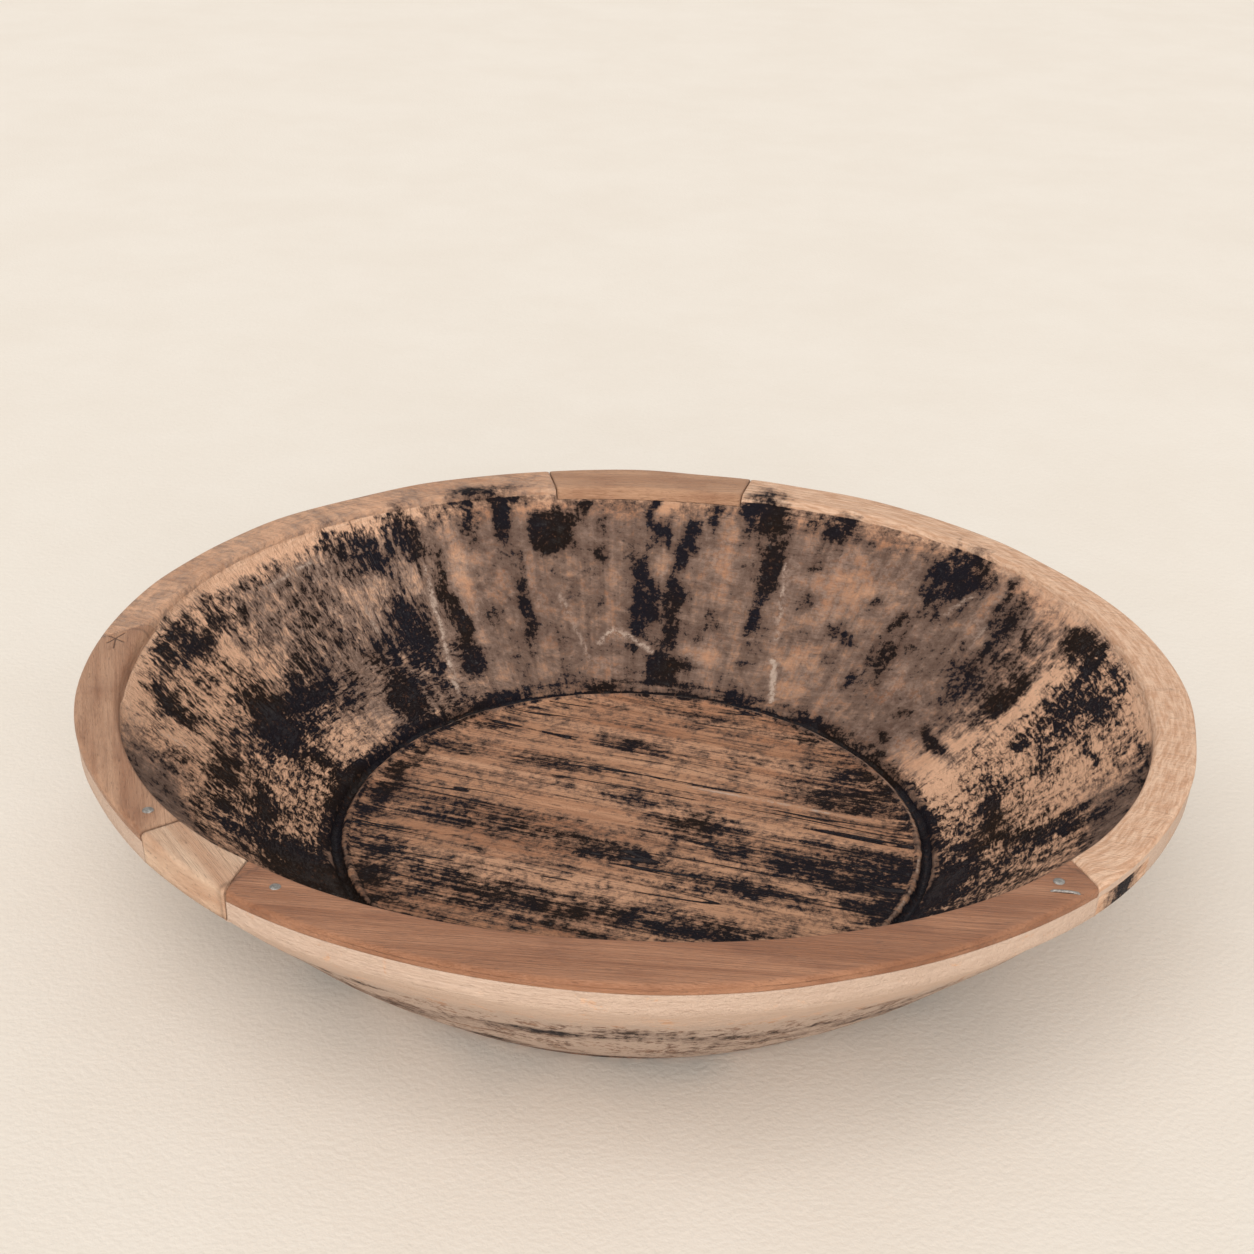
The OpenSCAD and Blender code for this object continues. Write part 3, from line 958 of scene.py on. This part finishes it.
# Pale colour of scratches and rubbed wood, also used for the painted highlight along the top of the floor's
# ring.
PALE_SCRATCH_AND_HIGHLIGHT = rgb(206, 182, 164)
FILM = rgb(86, 62, 50)
INK_BROWN = rgb(24, 16, 13)
INK_BLUE = rgb(15, 17, 27)
WORN_THROUGH = rgb(104, 74, 58)
# The next colour is a painted highlight: the grey of light shining off the glossy black stain.
INK_PAINTED_HIGHLIGHT = rgb(134, 124, 122)


class StainedWood(Graph):
    """The bowl's own wood: bare grain under a grey-brown wash and worn, half-glossy black stain."""

    def __init__(self):
        super().__init__("stained_wood")
        self.ends, self.pale, self.planks = self.value("ends"), self.value("pale"), self.value("planks")
        self.grit = self.value("grit")
        unrolled = self.unrolled_place()
        fibres = self.noise((16, 520, 520), 4, 0.75, turn=GRAIN_TURN)
        down = self.noise((90, 90, 190), 3, 0.7, 0.8, place=unrolled)
        along = self.noise((32, 32, 560), 3, 0.7, 0.8, place=unrolled)
        self.fine = self.between(self.ends, fibres, self.between(self.value("lie"), down, along))
        self.bands = self.noise((3, 70, 70), 3, 0.6, 0.8, turn=GRAIN_TURN)
        self.rings = self.noise((22, 22, 900), 3, 0.6, place=unrolled)
        self.patches = self.noise((110, 110, 110), 6, 0.68, 0.4)
        self.clouds = self.noise((26, 26, 26), 3, 0.5)
        crumbs = self.noise((430, 430, 430), 4, 0.75)
        self.crumbs = self.times(crumbs, self.between(self.pale, 1.0, 0.4))
        runs = self.noise((34, 34, 10), 4, 0.65, place=unrolled)
        self.runs = self.times(runs, self.minus(1.0, self.math("MAXIMUM", self.planks, self.pale)))
        rubbed = self.rise(self.plus(self.crumbs, self.patches), -0.8, 0.5)
        # Pale marks: real scratches and rubbed wood, and the painted highlight along the top of the floor's
        # ring.
        self.scratch_and_highlight = self.times(self.value("scratch_and_highlight"), rubbed)
        self.split = self.floor_splits()

    def unrolled_place(self):
        """A place that unrolls the wall: round the bowl at one radius, and down the section."""
        axes = self.add("SeparateXYZ", {0: self.place})
        x, y = axes.outputs[0], axes.outputs[1]
        radius = self.math("SQRT", self.plus(self.times(x, x), self.times(y, y)))
        radius = self.math("MAXIMUM", radius, 0.02)
        axes = {0: self.math("DIVIDE", x, radius), 1: self.math("DIVIDE", y, radius), 2: self.value("level")}
        return self.add("CombineXYZ", axes).outputs[0]

    def floor_splits(self):
        """Thin, broken lines along the floor's grain."""
        drifts = self.noise((4, 75, 75), 1, 0.5, turn=GRAIN_TURN)
        line = self.minus(1.0, self.rise(self.math("ABSOLUTE", drifts), 0.008, 0.03))
        return self.times(self.times(line, self.planks), self.rise(self.clouds, -0.1, 0.15))

    def bare(self):
        """Clean wood: tan, lighter where the grain ends and on the rim, with dark fibres."""
        bare = self.blend(self.rise(self.bands, -0.7, 0.7), BARE_DARK, BARE_LIGHT)
        bare = self.blend(self.times(self.rise(self.clouds, -0.5, 0.6), 0.5), bare, BARE_CLOUD)
        bare = self.blend(self.times(self.ends, 0.75), bare, END_GRAIN)
        light = self.blend(self.rise(self.rings, -0.6, 0.6), RIM_DARK, RIM_LIGHT)
        wood = self.blend(self.pale, bare, light)
        return self.blend(self.times(self.rise(self.fine, 0.0, 0.7), self.grit), wood, DARK_FIBRE)

    def washed(self, wood):
        """The thin grey-brown wash, the pale scratches through it, and the painted highlight along the top
        of the floor's ring.
        """
        grime = self.plus(self.times(self.patches, 0.5), self.times(self.fine, self.grit),
                          self.times(self.crumbs, 0.3), self.times(self.runs, 0.25))
        amount = self.rise(self.plus(self.value("wash"), grime), 0.15, 0.85)
        wash = self.blend(self.rise(self.crumbs, -0.4, 0.5), WASH_DARK, WASH_LIGHT)
        wood = self.blend(self.times(amount, 0.84), wood, wash)
        return self.blend(self.times(self.rise(self.scratch_and_highlight, 0.15, 0.7), 0.75), wood, PALE_SCRATCH_AND_HIGHLIGHT)

    def stain_depth(self):
        """How much stain lies at each place, ragged with every noise."""
        depth = self.plus(self.value("stain"), self.times(self.patches, 0.28),
                          self.times(self.fine, self.grit),
                          self.times(self.crumbs, 0.3), self.times(self.runs, 0.14))
        return self.plus(self.minus(depth, self.times(self.scratch_and_highlight, 0.5)), self.times(self.split, 0.5))

    def stained(self, wood, depth, black):
        """A brown film where the stain is thin and ink where it is black, with worn specks and painted
        highlights.
        """
        ink = self.blend(self.rise(self.clouds, -0.4, 0.3), INK_BROWN, INK_BLUE)
        colour = self.blend(self.times(self.rise(depth, 0.24, 0.54), 0.72), wood, FILM)
        colour = self.blend(self.times(black, 0.96), colour, ink)
        specks = self.times(self.rise(self.crumbs, -0.15, -0.6), self.times(black, 0.6))
        colour = self.blend(specks, colour, WORN_THROUGH)
        # painted highlights: pale grey specks on the black stain stand in for light shining off its glossy
        # surface
        painted_highlights = self.times(self.rise(self.crumbs, 0.35, 0.85), self.times(black, 0.45))
        return self.blend(painted_highlights, colour, INK_PAINTED_HIGHLIGHT)


def stained_wood():
    """The bowl's material: matt wood, and stain that shines where it lies thickest."""
    g = StainedWood()
    depth = g.stain_depth()
    black, solid = g.rise(depth, 0.47, 0.61), g.rise(depth, 0.75, 1.05)
    colour = g.stained(g.washed(g.bare()), depth, black)
    roughness = g.between(black, 0.68, g.between(solid, 0.55, 0.3))
    g.feed(g.shader.inputs["Specular IOR Level"], g.between(black, 0.25, g.between(solid, 0.07, 0.3)))
    relief = g.plus(g.times(g.fine, -0.6), g.times(g.patches, 0.4), g.times(g.crumbs, 0.3))
    return g.finish(colour, roughness, g.bump(g.minus(relief, g.split), 0.0009))


PORE = rgb(96, 62, 42)
SEAM_DIRT = rgb(58, 38, 28)
LET_IN_ROUGHNESS = 0.5


def plain_wood(name, dark, light, fleck, turn):
    """Clean let-in wood: growth bands and fine fibres along the piece, and dirt in its seams."""
    g = Graph(name)
    bands = g.noise((5, 90, 90), 4, 0.65, 0.5, turn=turn)
    fibres = g.noise((26, 700, 700), 4, 0.75, turn=turn)
    clouds = g.noise((38, 70, 60), 5, 0.65, turn=turn)
    pores = g.noise((240, 1300, 1300), 2, 0.6, turn=turn)
    colour = g.blend(g.rise(bands, -0.6, 0.6), dark, light)
    colour = g.blend(g.times(g.rise(clouds, -0.1, 0.7), 0.55), colour, fleck)
    colour = g.blend(g.times(g.rise(fibres, 0.0, 0.9), 0.4), colour, fleck)
    colour = g.blend(g.times(g.rise(pores, 0.35, 0.7), 0.45), colour, PORE)
    colour = g.blend(g.times(g.rise(g.value("seam"), 0.4, 1.6), 0.8), colour, SEAM_DIRT)
    relief = g.plus(fibres, g.times(clouds, 0.8))
    return g.finish(colour, LET_IN_ROUGHNESS, g.bump(relief, 0.0005))


def dull_steel():
    """Weathered steel with scuffs and a little rust."""
    g = Graph("nail_steel")
    scuffs = g.noise((900, 900, 900), 4, 0.7)
    spots = g.noise((500, 500, 500), 3, 0.6)
    colour = g.blend(g.rise(scuffs, -0.6, 0.8), rgb(130, 125, 119), rgb(192, 187, 180))
    colour = g.blend(g.times(g.rise(spots, 0.35, 0.9), 0.5), colour, rgb(120, 86, 62))
    g.shader.inputs["Metallic"].default_value = 0.75
    return g.finish(colour, g.between(g.rise(spots, 0.0, 0.8), 0.32, 0.6), g.bump(scuffs, 0.0002))


def studio_floor():
    """Pale, slightly mottled plaster."""
    g = Graph("studio_floor")
    mottle = g.noise((9, 9, 9), 6, 0.7)
    grit = g.noise((420, 420, 420), 2, 0.5)
    colour = g.blend(g.rise(mottle, -0.8, 0.8), rgb(236, 226, 213), rgb(240, 231, 219))
    return g.finish(colour, 0.9, g.bump(grit, 0.0003, 0.3))


# ---------------- putting it together


def place_piece(piece, material, node):
    piece.data.materials.append(material)
    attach(piece, "root")
    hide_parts(node)


# Each let-in piece's wood: (material, slot, darker, lighter and fleck colours, turn of its grain).
LET_IN_WOODS = {
    "left_rim_strip": (
        "rim_wood", "rim_wood", rgb(160, 112, 82), rgb(202, 158, 126), rgb(138, 90, 62), 104),
    "left_rim_block": (
        "pale_wood", "pale_wood", rgb(196, 150, 118), rgb(226, 192, 162), rgb(170, 124, 92), 122),
    "front_rim_strip": (
        "tan_wood", "tan_wood", rgb(150, 98, 66), rgb(182, 128, 94), rgb(122, 74, 48), -4),
    "rear_rim_strip": (
        "rear_wood", "rim_wood", rgb(172, 126, 94), rgb(198, 152, 118), rgb(150, 102, 72), 2),
}

place_piece(build_body(), stained_wood(), "bowl_body")
for node, first, last, depth in LET_INS:
    name, slot, *look = LET_IN_WOODS[node]
    place_piece(build_let_in(node, first, last, depth), plain_wood(name, *look), node)
steel = dull_steel()
for node in ("left_strip_nail", "front_strip_left_nail", "front_strip_right_nail"):
    place_piece(build_nail(node), steel, node)
place_piece(build_staple("rim_staple"), steel, "rim_staple")


FLOOR_REACH = 30.0


def build_floor():
    """A level floor that runs on past everything a camera sees."""
    corners = [(x * FLOOR_REACH, y * FLOOR_REACH, 0) for x, y in ((-1, -1), (1, -1), (1, 1), (-1, 1))]
    mesh = bpy.data.meshes.new("studio_floor")
    mesh.from_pydata(corners, [], [(0, 1, 2, 3)])
    mesh.materials.append(studio_floor())
    show("studio_floor", mesh)


SKY_COLOUR = (1.0, 0.985, 0.965, 1)
SKY_STRENGTH = 0.6
# Each light is (name, the way towards it, degrees that it spans, power, colour).
LIGHTS = (
    ("key", (-0.3, -0.7, 1.0), 60, 1.05, (1.0, 0.99, 0.975)),
    ("front", (0.1, -1.0, 0.42), 50, 1.4, (1.0, 0.985, 0.965)),
)


def far_light(name, towards, spread, power, colour):
    """A broad, even light from far away, with soft shadows."""
    lamp = bpy.data.lights.new(name, "SUN")
    lamp.angle, lamp.energy, lamp.color = math.radians(spread), power, colour
    show(name, lamp).rotation_euler = (-Vector(towards)).to_track_quat("-Z", "Y").to_euler()


def build_lights():
    world = bpy.data.worlds.new("studio")
    world.use_nodes = True
    background = world.node_tree.nodes["Background"]
    background.inputs[0].default_value = SKY_COLOUR
    background.inputs[1].default_value = SKY_STRENGTH
    bpy.context.scene.world = world
    for light in LIGHTS:
        far_light(*light)
    bpy.context.scene.view_settings.view_transform = "Standard"


# The camera looks down at the bowl from the front, a little rolled. Its place is in metres.
CAMERA_TARGET = (-0.0046, -0.0143, 0.1116)
CAMERA_DISTANCE = 0.816
CAMERA_ELEVATION = 26.4
CAMERA_ROLL = 1.83
CAMERA_LENS = 63.2
SENSOR_WIDTH = 36


def build_camera():
    data = bpy.data.cameras.new("camera")
    data.lens, data.sensor_width = CAMERA_LENS, SENSOR_WIDTH
    camera = show("camera", data)
    tilt = math.radians(CAMERA_ELEVATION)
    target = Vector(CAMERA_TARGET)
    camera.location = target + CAMERA_DISTANCE * Vector((0, -math.cos(tilt), math.sin(tilt)))
    look = (target - camera.location).to_track_quat("-Z", "Y").to_matrix()
    roll = Matrix.Rotation(math.radians(CAMERA_ROLL), 3, "Z")
    camera.rotation_euler = (look @ roll).to_euler()
    bpy.context.scene.camera = camera


build_floor()
build_lights()
build_camera()
